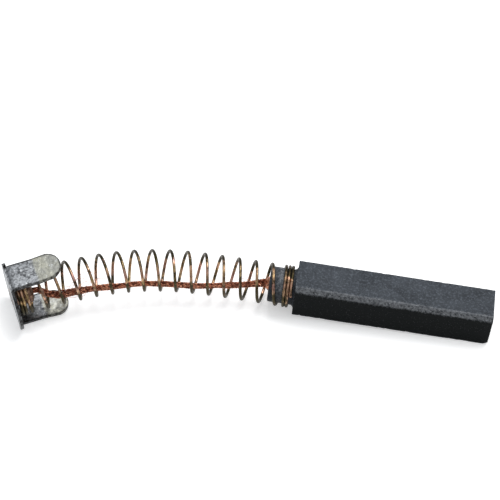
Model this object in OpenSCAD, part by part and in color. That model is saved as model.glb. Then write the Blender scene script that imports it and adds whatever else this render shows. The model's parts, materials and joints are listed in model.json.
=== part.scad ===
// Carbon brush for a small electric motor or switch, with a sprung two-eared terminal cap.
// The frame: +X runs from the cap to the rubbing face, +Z is up, the origin is the
// middle of the rubbing face. The brush lies on its side, with its spring bent a little.

/* [Carbon block] */
// Width of the block's section
block_w = 6.3; // [5.5:0.1:6.6]
// Height of the block's section
block_h = 6.3; // [5.5:0.1:6.6]
// Length from the shoulder to the rubbing face
block_l = 32; // [20:1:40]
// Flat cut along one long edge
edge_cut = 0.6; // [0.2:0.05:1]

/* [Spigot] */
// Length of the round spigot that carries the spring
spigot_l = 4.3; // [3.6:0.1:5]
// Radius of the hollow fillet at the spigot's root
spigot_fillet = 0.6; // [0.3:0.05:0.8]
// Chamfer round the spigot's end
spigot_chamfer = 0.15; // [0.05:0.05:0.4]
// Clearance between the spigot and the spring's end turns, on the radius
spigot_gap = 0.08; // [0.05:0.01:0.15]

/* [Shunt hole] */
// Diameter of the hole drilled up the spigot for the shunt
hole_d = 2.4; // [1.8:0.1:3]
// Depth of the hole's straight part, from the spigot's end
hole_depth = 7; // [5:0.5:10]
// Point angle of the drill that made the hole
drill_point = 118; // [90:1:140]
// How far the tamped copper heaps up out of the hole
crown_h = 0.5; // [0.2:0.1:0.7]
// Width of the heap at its top
crown_top_d = 1.6; // [1.4:0.1:1.8]
// Depth that the shunt reaches into the tamped copper
shunt_depth = 5.5; // [3:0.5:6.5]

/* [Shunt braid] */
// Diameter of the copper braid
braid_d = 1; // [0.7:0.1:1.1]
// Clearance round the braid where it is held, on the radius
braid_gap = 0.05; // [0.03:0.01:0.08]

/* [Spring] */
// Outer diameter of the spring
spring_od = 6.95; // [6.7:0.05:7.1]
// Diameter of the spring wire
wire_d = 0.5; // [0.4:0.02:0.55]
// All turns, with the closed ones at both ends
turns = 20.5; // [16:0.5:22]
// Closed turns at each end
closed_turns = 2; // [1:0.5:2.5]
// Gap between the closed turns
closed_gap = 0.04; // [0.03:0.01:0.08]
// Gap between an end turn and what it presses on
seat_gap = 0.03; // [0.02:0.01:0.06]
// Place of the wire's end round the spigot, in degrees
wire_start = 290; // [0:5:355]

/* [Terminal cap] */
// Diameter of the cap's disc
disc_d = 11; // [10.6:0.1:12]
// Thickness of the sheet that the cap is folded from
sheet_t = 0.5; // [0.4:0.05:0.6]
// Width of an ear
ear_w = 5; // [4:0.1:6]
// Length of an ear from the disc's inner face
ear_l = 8.3; // [7.5:0.1:10]
// Distance across the outer faces of the two ears at their roots
ears_across = 9.5; // [9.1:0.1:9.9]
// How much the round tip's radius is more than half the ear's width
tip_wider = 0.1; // [0.05:0.05:1]
// Inside radius of the fold between the disc and an ear
fold_r = 0.35; // [0.2:0.05:0.5]
// Width of the relief slot beside each fold
relief_w = 0.3; // [0.2:0.05:0.5]
// Distance from the disc to the kink in an ear
kink_at = 4; // [3:0.1:5]
// Angle by which an ear's tip leans out past the kink
flare = 6; // [2:0.5:8]

/* [Eyelet] */
// Outer diameter of the eyelet that grips the braid
eyelet_d = 3.5; // [2.9:0.1:4]
// Length of the eyelet inside the cap
eyelet_l = 3; // [2:0.1:4]
// Height of the crimped neck at the eyelet's mouth
neck_h = 0.5; // [0.3:0.1:0.8]
// Width of the eyelet's mouth after crimping
neck_d = 2.6; // [2.4:0.1:2.8]
// Diameter of the shank through the disc
shank_d = 2.4; // [1.8:0.1:2.6]
// Diameter of the shank's upset head, flush with the disc's outer face
head_d = 3; // [2.7:0.1:3.4]
// Depth of the upset head in the disc
head_h = 0.25; // [0.15:0.05:0.35]

/* [Lie of the cap] */
// Distance back from the shoulder to the cap's inner face
cap_back = 44.2; // [40:0.1:47]
// Sideways offset of the cap from the block's axis
cap_side = 10; // [6:0.1:13]
// Turn of the cap about the vertical, in degrees
cap_yaw = 27; // [15:0.5:35]
// Rise of the cap's axis towards the block, in degrees
cap_pitch = 7; // [3:0.5:16]
// Height at which the bent spring holds up the block's spring end
spring_lift = 1; // [0.4:0.1:1.6]

/* [Hidden] */
$fn = 72;

// Facets of the two swept pieces
turn_steps = 20;
wire_sides = 6;
braid_sides = 8;
braid_ring_gap = 2;
// Shares of the spring's span that its two ends keep their own direction over
block_end_hold = 0.43;
cap_end_hold = 0.48;
bend_steps = 80;
// A cut runs past the faces that it opens by this much
over = 1;

wire_r = wire_d / 2;
closed_pitch = wire_d + closed_gap;
coil_r = spring_od / 2 - wire_r;
spigot_r = coil_r - wire_r - spigot_gap;
shoulder = [-block_l, 0, 0];
spigot_end = shoulder - [spigot_l, 0, 0];
up = [0, 0, 1];

// The brush rests on the block's far bottom edge and on the corners that the disc's rim has
// beside the lower ear
wire_from = max(spigot_fillet, wire_r) + seat_gap;
rest_slope = spring_lift / block_l;
cap_dir = [cos(cap_pitch) * cos(cap_yaw), cos(cap_pitch) * sin(cap_yaw), sin(cap_pitch)];
cap_x = -block_l - cap_back;
corner_r = sqrt(pow(disc_d / 2, 2) - pow(ear_w / 2 + relief_w, 2));
corner_x = cap_x + corner_r * sin(cap_pitch) * cos(cap_yaw);
cap_z = -block_h / 2 + rest_slope * corner_x + corner_r * cos(cap_pitch) + sheet_t * sin(cap_pitch);
cap_at = [cap_x, -cap_side, cap_z];

// The braid's route between the spigot and the eyelet: distance back from the spigot's end,
// then sideways and up from the block's axis
braid_route = [
    [1, -0.1, 0], [3.1, -0.5, -0.3], [4.9, -0.8, -0.6], [7.4, -1.2, -0.8],
    [11.5, -2, -1], [15.2, -2.5, -0.9], [18.1, -3, -0.8], [21, -3.7, -0.7],
    [24, -4.7, -0.8], [26.5, -5.5, -0.8], [29.3, -6.5, -0.9], [31.4, -7.3, -1.1],
    [32.9, -7.9, -1.2], [34.2, -8.25, -1.1], [35.3, -8.25, -0.8], [36.4, -8.3, -0.4]
];

function unit(v) = v / norm(v);

// A cubic curve from the spigot's seat to the cap's seat, along both axes where it leaves them
bend_from = shoulder - [wire_from + closed_turns * closed_pitch, 0, 0];
bend_to = cap_at + cap_dir * (seat_gap + wire_d);
bend_span = norm(bend_to - bend_from);
bend_pull = [
    bend_from, bend_from - [bend_span * block_end_hold, 0, 0],
    bend_to + cap_dir * bend_span * cap_end_hold, bend_to
];
function bend_point(t) = pow(1 - t, 3) * bend_pull[0] + 3 * pow(1 - t, 2) * t * bend_pull[1]
    + 3 * (1 - t) * t * t * bend_pull[2] + pow(t, 3) * bend_pull[3];
function bend_slope(t) = 3 * pow(1 - t, 2) * (bend_pull[1] - bend_pull[0])
    + 6 * (1 - t) * t * (bend_pull[2] - bend_pull[1]) + 3 * t * t * (bend_pull[3] - bend_pull[2]);
// Length along the curve against its parameter, so that turns can be spaced by length
bend_table = [
    for (i = 0, s = 0; i <= bend_steps;
         s = s + norm(bend_point((i + 1) / bend_steps) - bend_point(i / bend_steps)), i = i + 1)
        [s, i / bend_steps]
];
bend_l = bend_table[bend_steps][0];
bend_start = norm(bend_from - shoulder);
line_l = bend_start + bend_l + seat_gap + wire_d;

// Point and direction at a length from the shoulder towards the cap
function line_point(s) = s <= bend_start ? shoulder - [s, 0, 0]
    : s < bend_start + bend_l ? bend_point(lookup(s - bend_start, bend_table))
    : bend_to - cap_dir * (s - bend_start - bend_l);
function line_dir(s) = s <= bend_start ? [-1, 0, 0]
    : s < bend_start + bend_l ? unit(bend_slope(lookup(s - bend_start, bend_table)))
    : -cap_dir;

// Turns are closed at the ends, and the pitch grows and shrinks over one turn
wire_to = line_l - seat_gap - wire_r;
open_pitch_more = (wire_to - wire_from - closed_pitch * turns) / (turns - 2 * closed_turns - 1);
function eased(x) = x <= 0 ? 0 : x >= 1 ? x - 0.5 : pow(x, 3) - pow(x, 4) / 2;
function ease(x) = x <= 0 ? 0 : x >= 1 ? 1 : x * x * (3 - 2 * x);
function turn_at(n) = wire_from + closed_pitch * n + open_pitch_more
    * (eased(n - closed_turns) - eased(n - (turns - closed_turns - 1)));
function pitch_at(n) = closed_pitch + open_pitch_more
    * (ease(n - closed_turns) - ease(n - (turns - closed_turns - 1)));

// A ring of the wire, square to the helix
function wire_ring(n) =
    let (s = turn_at(n), dir = line_dir(s), side = unit(cross(dir, up)), top = cross(side, dir),
         a = 360 * n + wire_start, out = cos(a) * top + sin(a) * side,
         round = cos(a) * side - sin(a) * top,
         along = unit(2 * PI * coil_r * round + pitch_at(n) * dir), across = cross(along, out),
         mid = line_point(s) + coil_r * out)
    [for (k = [0:wire_sides - 1]) let (b = 360 * k / wire_sides)
        mid + wire_r * (cos(b) * out + sin(b) * across)];

// A closed skin over rings with equal numbers of points
module skin(rings) {
    m = len(rings[0]);
    last = len(rings) - 1;
    polyhedron(
        points = [for (r = rings) each r],
        faces = [
            [for (k = [0:m - 1]) k],
            for (i = [0:last - 1], k = [0:m - 1])
                [i * m + k, (i + 1) * m + k, (i + 1) * m + (k + 1) % m, i * m + (k + 1) % m],
            [for (k = [m - 1:-1:0]) last * m + k]
        ],
        convexity = 10
    );
}

// The braid's middle line: held straight at both ends and smooth through the route's points
braid_line = concat(
    [spigot_end + [shunt_depth, 0, 0], spigot_end + [shunt_depth / 2, 0, 0], spigot_end],
    [for (p = braid_route) [spigot_end[0] - p[0], p[1], p[2]]],
    [cap_at + cap_dir * eyelet_l, cap_at + cap_dir * eyelet_l / 2, cap_at]
);
function smooth_point(p, i, t) =
    let (n = len(p), a = p[max(i - 1, 0)], b = p[i], c = p[i + 1], d = p[min(i + 2, n - 1)])
    0.5 * (2 * b + (c - a) * t + (2 * a - 5 * b + 4 * c - d) * t * t
        + (3 * b - 3 * c + d - a) * t * t * t);
braid_path = [
    for (i = [0:len(braid_line) - 2])
        let (steps = max(1, round(norm(braid_line[i + 1] - braid_line[i]) / braid_ring_gap / braid_d)))
        for (k = [0:steps - 1]) smooth_point(braid_line, i, k / steps),
    braid_line[len(braid_line) - 1]
];
function braid_ring(i) =
    let (n = len(braid_path), dir = unit(braid_path[min(i + 1, n - 1)] - braid_path[max(i - 1, 0)]),
         side = unit(cross(dir, up)), top = cross(side, dir))
    [for (k = [0:braid_sides - 1]) let (b = 360 * k / braid_sides)
        braid_path[i] + braid_d / 2 * (cos(b) * top + sin(b) * side)];

// Turns a profile of [radius, length] about the X axis, from a point along a direction of it
module turned(at, back = false) {
    translate(at) rotate([0, back ? -90 : 90, 0]) rotate_extrude() children();
}

module place_cap() {
    translate(cap_at) rotate([0, -cap_pitch, cap_yaw]) children();
}

module spigot_profile() {
    square([spigot_r, spigot_l - spigot_chamfer]);
    polygon([
        [0, 0], [spigot_r, 0], [spigot_r, spigot_l - spigot_chamfer],
        [spigot_r - spigot_chamfer, spigot_l], [0, spigot_l]
    ]);
    difference() {
        square([spigot_r + spigot_fillet, spigot_fillet]);
        translate([spigot_r + spigot_fillet, spigot_fillet]) circle(spigot_fillet);
    }
}

// The drilled hole with its pointed bottom, closed at its mouth by other points
module hole_profile(mouth) {
    polygon(concat(mouth, [
        [hole_d / 2, hole_depth], [0, hole_depth + hole_d / 2 / tan(drill_point / 2)]
    ]));
}

// The block's section along its whole length, or along any stretch from a point
module block_bar(from, length) {
    translate(from) rotate([90, 0, 90]) linear_extrude(length) polygon([
        [-block_w / 2, -block_h / 2], [block_w / 2, -block_h / 2], [block_w / 2, block_h / 2],
        [-block_w / 2 + edge_cut, block_h / 2], [-block_w / 2, block_h / 2 - edge_cut]
    ]);
}

module carbon_block() color("#3c3f45") difference() {
    union() {
        block_bar(shoulder, block_l);
        // The fillet is turned, and stops short where the block's flats cut it off
        intersection() {
            turned(shoulder, back = true) spigot_profile();
            block_bar(spigot_end - [over, 0, 0], spigot_l + over);
        }
    }
    turned(spigot_end) hole_profile([[0, -over], [hole_d / 2, -over]]);
}

module tamping_plug() color("#a9603c") turned(spigot_end) difference() {
    hole_profile([[0, -crown_h], [crown_top_d / 2, -crown_h], [hole_d / 2, 0]]);
    translate([0, -crown_h - over])
        square([braid_d / 2 + braid_gap, crown_h + over + shunt_depth + braid_gap]);
}

module shunt_braid() color("#c57a48")
    skin([for (i = [0:len(braid_path) - 1]) braid_ring(i)]);

module spring() color("#8c744a")
    skin([for (i = [0:turns * turn_steps]) wire_ring(i / turn_steps)]);

fold_z = ears_across / 2 - sheet_t - fold_r;
// The ear's tip is an arc a little wider than the ear, so that it meets the sides at a corner
tip_r = ear_w / 2 + tip_wider;

// An ear's strip: the fold, a flat root and a flared tip, longer than the ear
module ear_strip() {
    translate([fold_r, ear_w / 2, fold_z]) rotate([90, -90, 0])
        rotate_extrude(angle = 90) translate([fold_r, 0]) square([sheet_t, ear_w]);
    translate([fold_r, -ear_w / 2, fold_z + fold_r]) cube([kink_at - fold_r, ear_w, sheet_t]);
    translate([kink_at, -ear_w / 2, fold_z + fold_r]) rotate([0, -flare, 0])
        cube([(ear_l - kink_at + over) / cos(flare), ear_w, sheet_t]);
}

// The strip trimmed to a round tip
module ear() intersection() {
    ear_strip();
    union() {
        translate([-sheet_t - over, -ear_w, 0]) cube([ear_l + sheet_t + over - tip_r, 2 * ear_w, disc_d]);
        translate([ear_l - tip_r, 0, 0]) cylinder(r = tip_r, h = disc_d);
    }
}

// The part of the disc that an ear is folded out of, with a relief slot on each side
module ear_window() {
    translate([-sheet_t - over, -ear_w / 2 - relief_w, fold_z])
        cube([sheet_t + 2 * over, ear_w + 2 * relief_w, disc_d]);
}

// The eyelet's shank and its upset head, from the disc's outer face
module shank_profile(start, end) {
    polygon([
        [0, start], [head_d / 2, start], [head_d / 2, 0], [shank_d / 2, head_h],
        [shank_d / 2, end], [0, end]
    ]);
}

module terminal_cap() color("#b7bbbc") place_cap() {
    difference() {
        turned([-sheet_t, 0, 0]) square([disc_d / 2, sheet_t]);
        ear_window();
        mirror([0, 0, 1]) ear_window();
        turned([-sheet_t, 0, 0]) shank_profile(-over, sheet_t + over);
    }
    ear();
    mirror([0, 0, 1]) ear();
}

module eyelet() color("#c8bca6") place_cap() turned([-sheet_t, 0, 0]) difference() {
    polygon([
        [0, 0], [head_d / 2, 0], [shank_d / 2, head_h], [shank_d / 2, sheet_t],
        [eyelet_d / 2, sheet_t], [eyelet_d / 2, sheet_t + eyelet_l - neck_h],
        [neck_d / 2, sheet_t + eyelet_l], [0, sheet_t + eyelet_l]
    ]);
    translate([0, sheet_t - braid_gap]) square([braid_d / 2 + braid_gap, eyelet_l + over]);
}

carbon_block();
tamping_plug();
shunt_braid();
spring();
terminal_cap();
eyelet();
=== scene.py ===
"""A carbon brush lying on its side: carbon block, spring, copper braid, terminal cap and eyelet."""

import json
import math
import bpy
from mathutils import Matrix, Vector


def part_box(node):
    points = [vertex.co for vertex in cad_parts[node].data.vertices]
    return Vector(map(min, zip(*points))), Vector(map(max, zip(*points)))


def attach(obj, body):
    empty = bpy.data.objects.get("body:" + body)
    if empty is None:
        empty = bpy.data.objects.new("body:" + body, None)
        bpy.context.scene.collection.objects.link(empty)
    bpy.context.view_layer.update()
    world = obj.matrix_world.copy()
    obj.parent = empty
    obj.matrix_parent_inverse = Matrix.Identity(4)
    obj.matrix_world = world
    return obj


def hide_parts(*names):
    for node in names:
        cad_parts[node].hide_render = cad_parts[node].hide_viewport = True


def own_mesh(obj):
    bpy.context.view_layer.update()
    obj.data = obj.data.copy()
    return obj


bl_info = {
    "name": "Carbon Brush",
    "version": (1, 0, 0),
    "blender": (4, 5, 0),
    "location": "3D View > Sidebar > Carbon Brush",
    "description": "Dresses the packed frame of a motor's carbon brush with worn carbon, wire, braid and tin",
    "category": "Object",
}

import bmesh
import bpy
import numpy as np
from mathutils import Matrix, Vector

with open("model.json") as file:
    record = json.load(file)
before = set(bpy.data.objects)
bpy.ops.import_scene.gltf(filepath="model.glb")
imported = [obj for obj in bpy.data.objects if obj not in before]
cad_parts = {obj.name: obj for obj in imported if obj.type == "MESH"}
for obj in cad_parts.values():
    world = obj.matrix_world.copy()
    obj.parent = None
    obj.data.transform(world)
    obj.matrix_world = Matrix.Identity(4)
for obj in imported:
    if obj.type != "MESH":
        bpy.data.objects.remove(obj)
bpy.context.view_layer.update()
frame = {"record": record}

MM = 0.001
UP = np.array([0.0, 0.0, 1.0])
TAU = 2 * math.pi


# ---------------- places read from the frame


def low(node):
    return np.array(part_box(node)[0])


def high(node):
    return np.array(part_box(node)[1])


def mount(name):
    found = next(m for m in frame["record"]["mounts"] if m["name"] == name)
    return np.array(found["pos_m"]), np.array(found["axis"])


def unit(v):
    return v / np.linalg.norm(v, axis=-1, keepdims=True)


HALF_W = high("carbon_block")[1]
HALF_H = high("carbon_block")[2]
FACE_X = high("carbon_block")[0]
SPIGOT_END_X = low("carbon_block")[0]
SPIGOT_MOUTH = np.array([SPIGOT_END_X, 0.0, 0.0])

# The cap's own axes: along it towards the carbon, across it, and out through the upper ear
UPPER_EAR, CAP_TOP = mount("upper_ear")
LOWER_EAR, _ = mount("lower_ear")
_, CAP_BACK = mount("cap_seat")
CAP_AXIS = -unit(CAP_BACK)
CAP_TOP = unit(CAP_TOP)
CAP_SIDE = np.cross(CAP_TOP, CAP_AXIS)
EARS_ACROSS = float(np.linalg.norm(UPPER_EAR - LOWER_EAR))
# The ears' mounts lie this far along the cap from the disc's inner face
EAR_MOUNT_OUT = 2.2 * MM
CAP_AT = (UPPER_EAR + LOWER_EAR) / 2 - CAP_AXIS * EAR_MOUNT_OUT


def from_cap(points):
    """Points along, across and up the cap's own axes, put where the cap lies."""
    p = np.asarray(points, float)
    return CAP_AT + p[..., :1] * CAP_AXIS + p[..., 1:2] * CAP_SIDE + p[..., 2:3] * CAP_TOP


# ---------------- user settings


def length(name, mm, words):
    return bpy.props.FloatProperty(
        name=name, description=words, default=mm * MM, subtype="DISTANCE", unit="LENGTH", precision=5
    )


def colour(name, rgb, words):
    return bpy.props.FloatVectorProperty(
        name=name, description=words, default=(*rgb, 1.0), size=4, subtype="COLOR", min=0, max=1
    )


class BrushSizes(bpy.types.PropertyGroup):
    """Sizes of the pieces that the frame alone doesn't give."""

    edge_cut: length("Edge cut", 0.6, "Flat cut along the block's one bevelled edge")
    block_l: length("Block length", 32, "From the shoulder to the rubbing face")
    edge_round: length("Edge rounding", 0.07, "Radius of the block's long edges")
    spigot_fillet: length("Spigot fillet", 0.6, "Hollow fillet at the spigot's root")
    spigot_gap: length("Spigot gap", 0.08, "Clearance between the spigot and the end turns")
    spigot_chamfer: length("Spigot chamfer", 0.15, "Chamfer round the spigot's end")
    hole_d: length("Shunt hole", 2.4, "Diameter of the hole up the spigot")
    spring_od: length("Spring diameter", 6.95, "Outer diameter of the spring")
    wire_d: length("Wire diameter", 0.5, "Diameter of the spring wire")
    braid_d: length("Braid diameter", 1.0, "Diameter of the copper braid")
    strand_d: length("Strand diameter", 0.085, "Diameter of one wire of the braid")
    braid_pitch: length("Braid pitch", 5.4, "Length in which a strand goes once round the braid")
    disc_d: length("Disc diameter", 11, "Diameter of the cap's disc")
    sheet_t: length("Sheet thickness", 0.5, "Thickness of the cap's sheet")
    ear_w: length("Ear width", 5, "Width of an ear")
    ear_l: length("Ear length", 8.3, "Length of an ear from the disc's inner face")
    fold_r: length("Fold radius", 0.35, "Inside radius of an ear's fold")
    kink_at: length("Kink", 4, "Distance from the disc to the kink in an ear")
    eyelet_d: length("Eyelet diameter", 3.5, "Outer diameter of the eyelet")
    eyelet_l: length("Eyelet length", 3, "Length of the eyelet inside the cap")


class BrushColours(bpy.types.PropertyGroup):
    """Base colours of the finishes."""

    carbon: colour("Carbon", (0.056, 0.063, 0.073), "Pressed carbon")
    spring: colour("Spring", (0.56, 0.39, 0.19), "Bronze wire where it is clean")
    copper: colour("Copper", (0.84, 0.43, 0.28), "Bare copper of the braid")
    tin: colour("Tin", (0.345, 0.358, 0.375), "Tinned sheet of the cap")
    eyelet: colour("Eyelet", (0.27, 0.17, 0.12), "Eyelet in the cap")


# ---------------- surfaces


def lattice_noise(u, v, seed, cells=64):
    """Smooth value noise in -1..1: random corners of a square lattice, eased between with 3t^2 - 2t^3."""
    corner = np.random.default_rng(seed).uniform(-1, 1, (cells, cells))
    iu, iv = np.floor(u).astype(int), np.floor(v).astype(int)
    fu, fv = u - iu, v - iv
    fu, fv = fu * fu * (3 - 2 * fu), fv * fv * (3 - 2 * fv)
    a, b = corner[iu % cells, iv % cells], corner[(iu + 1) % cells, iv % cells]
    c, d = corner[iu % cells, (iv + 1) % cells], corner[(iu + 1) % cells, (iv + 1) % cells]
    return (a * (1 - fu) + b * fu) * (1 - fv) + (c * (1 - fu) + d * fu) * fv


def in_scene(name, data):
    """A new object in the scene that holds a mesh, a camera or a lamp."""
    made = bpy.data.objects.new(name, data)
    bpy.context.scene.collection.objects.link(made)
    return made


class Skin:
    """Collects grids of points into one mesh, with a UV map and two masks per point: wear, and a
    tone that picks between two finishes of one material. On the carbon the tone also carries
    painted sheen and shade, on the spring it is painted shade, and on the braid's core the wear
    is painted shade."""

    def __init__(self):
        self.points, self.faces, self.uvs, self.wear, self.tone, self.count = [], [], [], [], [], 0

    def grid(self, points, wrap=True, wear=0.0, tone=0.0, flip=False):
        """A grid of rows by columns. With wrap set, columns close round and each end row closes on
        its own middle point. U runs once over the columns, and V along the rows in metres."""
        rows, cols = points.shape[:2]
        span = cols if wrap else cols - 1
        flat = points.reshape(-1, 3)
        wear, tone = (np.broadcast_to(mask, (rows, cols)).ravel() for mask in (wear, tone))
        step = np.linalg.norm(np.diff(points.mean(1), axis=0), axis=1)
        along = np.concatenate([[0], np.cumsum(step)])
        i, j = np.indices((rows - 1, span))
        k = (j + 1) % cols
        quads = np.stack([i * cols + j, i * cols + k, (i + 1) * cols + k, (i + 1) * cols + j], -1)
        us = np.stack([j, j + 1, j + 1, j], -1) / span
        vs = np.stack([along[i], along[i], along[i + 1], along[i + 1]], -1)
        faces, uvs = [quads.reshape(-1, 4)], [np.stack([us, vs], -1).reshape(-1, 4, 2)]
        if wrap:
            flat = np.vstack([flat, points[0].mean(0), points[-1].mean(0)])
            wear, tone = (np.concatenate([mask, mask[[0, -1]]]) for mask in (wear, tone))
            j = np.arange(cols)
            k = (j + 1) % cols
            first = np.stack([j * 0 + rows * cols, k, j], -1)
            last = np.stack([j * 0 + rows * cols + 1, (rows - 1) * cols + j, (rows - 1) * cols + k], -1)
            for tri, v in ((first, 0), (last, along[-1])):
                faces.append(tri)
                u = np.stack([j + 0.5, k + 0.5, j + 0.5], -1) / cols
                uvs.append(np.stack([u, np.full((cols, 3), v)], -1))
        for f, t in zip(faces, uvs):
            f = f + self.count
            if flip:
                f, t = f[:, ::-1], t[:, ::-1]
            self.faces.append(f)
            self.uvs.append(t)
        self.points.append(flat)
        self.wear.append(wear)
        self.tone.append(tone)
        self.count += len(flat)

    def build(self, name, sharp=35.0):
        """Puts the arrays into one mesh object at the origin."""
        mesh = bpy.data.meshes.new(name)
        points = np.vstack(self.points)
        sizes = np.concatenate([np.full(len(f), f.shape[1]) for f in self.faces])
        corners = np.concatenate([f.ravel() for f in self.faces])
        mesh.vertices.add(len(points))
        mesh.vertices.foreach_set("co", points.astype(np.float32).ravel())
        mesh.loops.add(len(corners))
        mesh.loops.foreach_set("vertex_index", corners.astype(np.int32))
        mesh.polygons.add(len(sizes))
        starts = np.concatenate([[0], np.cumsum(sizes)[:-1]])
        mesh.polygons.foreach_set("loop_start", starts.astype(np.int32))
        mesh.polygons.foreach_set("loop_total", sizes.astype(np.int32))
        layer = mesh.uv_layers.new(name="Along")
        uv = np.concatenate([t.reshape(-1, 2) for t in self.uvs])
        layer.data.foreach_set("uv", uv.astype(np.float32).ravel())
        for label, values in (("wear", self.wear), ("tone", self.tone)):
            mask = mesh.attributes.new(label, "FLOAT", "POINT")
            mask.data.foreach_set("value", np.concatenate(values).astype(np.float32))
        mesh.update(calc_edges=True)
        mesh.validate()
        mesh.shade_smooth()
        mesh.set_sharp_from_angle(angle=math.radians(sharp))
        return in_scene(name, mesh)


def around(count):
    """Angles that go once round in equal steps."""
    return TAU * np.arange(count) / count


def carry(path, out, side, radius, sides):
    """Round rings on a path: middle + r (cos a * out + sin a * side), a going once round."""
    a = around(sides)
    radius = np.broadcast_to(radius, len(path))[:, None, None]
    ring = np.cos(a)[None, :, None] * out[:, None] + np.sin(a)[None, :, None] * side[:, None]
    return path[:, None] + radius * ring


def bell(x, middle, width):
    """A bell curve: 1 at the middle, and 1/e one width away from it."""
    return np.exp(-(((x - middle) / width) ** 2))


def square_frames(path):
    """Directions along a path and two square to it, kept level by the vertical."""
    along = unit(np.gradient(path, axis=0))
    side = unit(np.cross(along, UP))
    return along, side, np.cross(side, along)


# ---------------- finishes


def new_group(name, inputs, outputs):
    """A shader node group: its nodes, its inputs and its output node. An input is a vector if it
    has no value, a number if the value is one, and a colour otherwise."""
    group = bpy.data.node_groups.new(name, "ShaderNodeTree")
    for label, value in inputs.items():
        kind = "Vector" if value is None else "Float" if isinstance(value, float) else "Color"
        socket = group.interface.new_socket(name=label, in_out="INPUT", socket_type="NodeSocket" + kind)
        if value is not None:
            socket.default_value = value
    for label, kind in outputs.items():
        group.interface.new_socket(name=label, in_out="OUTPUT", socket_type="NodeSocket" + kind)
    n = Nodes(group)
    return n, n.add("NodeGroupInput").outputs, n.add("NodeGroupOutput")


class Nodes:
    """Adds and links nodes in a tree in one short call each."""

    def __init__(self, tree):
        self.tree = tree

    def add(self, kind, settings=None, numbered=None, **inputs):
        """A node with its settings and inputs. Inputs that share a name go by number."""
        node = self.tree.nodes.new(kind)
        for key, value in (settings or {}).items():
            setattr(node, key, value)
        for key, value in (numbered or {}).items():
            self.feed(node, key, value)
        for key, value in inputs.items():
            self.feed(node, key.replace("_", " "), value)
        return node

    def feed(self, node, key, value):
        """Links an input to another node's output, or gives it a value."""
        socket = node.inputs[key]
        if isinstance(value, bpy.types.NodeSocket):
            self.tree.links.new(value, socket)
        else:
            socket.default_value = value

    def maths(self, operation, a, b=0.0, clamp=False):
        settings = {"operation": operation, "use_clamp": clamp}
        return self.add("ShaderNodeMath", settings, {0: a, 1: b}).outputs[0]

    def line(self, value, gain, start=0.0):
        """A straight line: start + gain * value."""
        return self.maths("ADD", start, self.maths("MULTIPLY", value, gain))

    def noise(self, vector, scale, detail=3.0, roughness=0.55, distortion=0.0):
        node = self.add("ShaderNodeTexNoise", Vector=vector, Scale=scale, Detail=detail, Roughness=roughness)
        self.feed(node, "Distortion", distortion)
        return node.outputs["Fac"]

    def patches(self, vector, scale, low_at, high_at, detail=3.0, roughness=0.6, distortion=0.0):
        """Patches of 0 and 1 with soft rims: noise, stretched between two of its levels."""
        return self.ramp(self.noise(vector, scale, detail, roughness, distortion), low_at, high_at)

    def ramp(self, value, low_at, high_at):
        """Value remapped so that low_at gives 0 and high_at gives 1, clamped."""
        node = self.add("ShaderNodeMapRange", Value=value, From_Min=low_at, From_Max=high_at)
        return node.outputs["Result"]

    def mix(self, factor, a, b):
        return self.add("ShaderNodeMix", {"data_type": "RGBA"}, {0: factor, 6: a, 7: b}).outputs[2]

    def mask(self, name):
        """One of the masks that a piece carries per point."""
        return self.add("ShaderNodeAttribute", {"attribute_name": name}).outputs["Fac"]

    def group(self, name, **inputs):
        return self.add("ShaderNodeGroup", {"node_tree": bpy.data.node_groups[name]}, **inputs).outputs


def fresh_nodes(owner):
    """The node tree of a new material or world, emptied."""
    owner.use_nodes = True
    owner.node_tree.nodes.clear()
    return Nodes(owner.node_tree)


def grain_group():
    """Fine grain: a height from two scales of noise, and bright specks in the middles of some
    random cells."""
    inputs = {"Vector": None, "Scale": 4000.0, "Specks": 0.7}
    n, given, out = new_group("Fine Grain", inputs, {"Height": "Float", "Specks": "Float"})
    fine = n.noise(given["Vector"], given["Scale"], 4.0, 0.65)
    coarse = n.noise(given["Vector"], n.maths("MULTIPLY", given["Scale"], 0.22), 3.0)
    cell = n.add("ShaderNodeTexVoronoi", Vector=given["Vector"], Scale=given["Scale"])
    lot = n.add("ShaderNodeSeparateColor", Color=cell.outputs["Color"]).outputs[0]
    bright = n.maths("GREATER_THAN", lot, given["Specks"])
    core = n.ramp(cell.outputs["Distance"], 0.42, 0.18)
    n.feed(out, "Height", n.line(coarse, 0.5, n.maths("MULTIPLY", fine, 0.7)))
    n.feed(out, "Specks", n.maths("MULTIPLY", bright, core))


def tarnish_group():
    """Tarnish: one colour turning into another in soft patches, for metals."""
    colours = {"Clean": (0.8, 0.8, 0.8, 1), "Dull": (0.2, 0.2, 0.2, 1)}
    inputs = {"Vector": None, "Scale": 600.0, **colours, "Amount": 0.5}
    n, given, out = new_group("Tarnish", inputs, {"Color": "Color", "Mask": "Float"})
    soft = n.patches(given["Vector"], given["Scale"], 0.38, 0.64, detail=4.0, distortion=0.6)
    mask = n.maths("MULTIPLY", soft, given["Amount"], clamp=True)
    n.feed(out, "Color", n.mix(mask, given["Clean"], given["Dull"]))
    n.feed(out, "Mask", mask)


def new_material(name, view, metallic=0.0):
    """A material with its nodes, its Principled shader and the place on the object."""
    made = bpy.data.materials.new(name)
    made.diffuse_color = view
    n = fresh_nodes(made)
    shader = n.add("ShaderNodeBsdfPrincipled", Metallic=metallic)
    n.add("ShaderNodeOutputMaterial", Surface=shader.outputs[0])
    return n, shader, n.add("ShaderNodeTexCoord").outputs["Object"]


def finish_shader(n, shader, base, roughness, height=None, strength=0.0, distance=0.0):
    """Feeds a shader its colour and roughness, and a bump where a height is given."""
    n.feed(shader, "Base Color", base)
    n.feed(shader, "Roughness", roughness)
    if height is not None:
        bump = n.add("ShaderNodeBump", Height=height, Strength=strength, Distance=distance)
        n.feed(shader, "Normal", bump.outputs[0])


def shaded(rgba, share):
    """A colour made darker or lighter, opaque."""
    return (*(share * c for c in rgba[:3]), 1)


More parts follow.
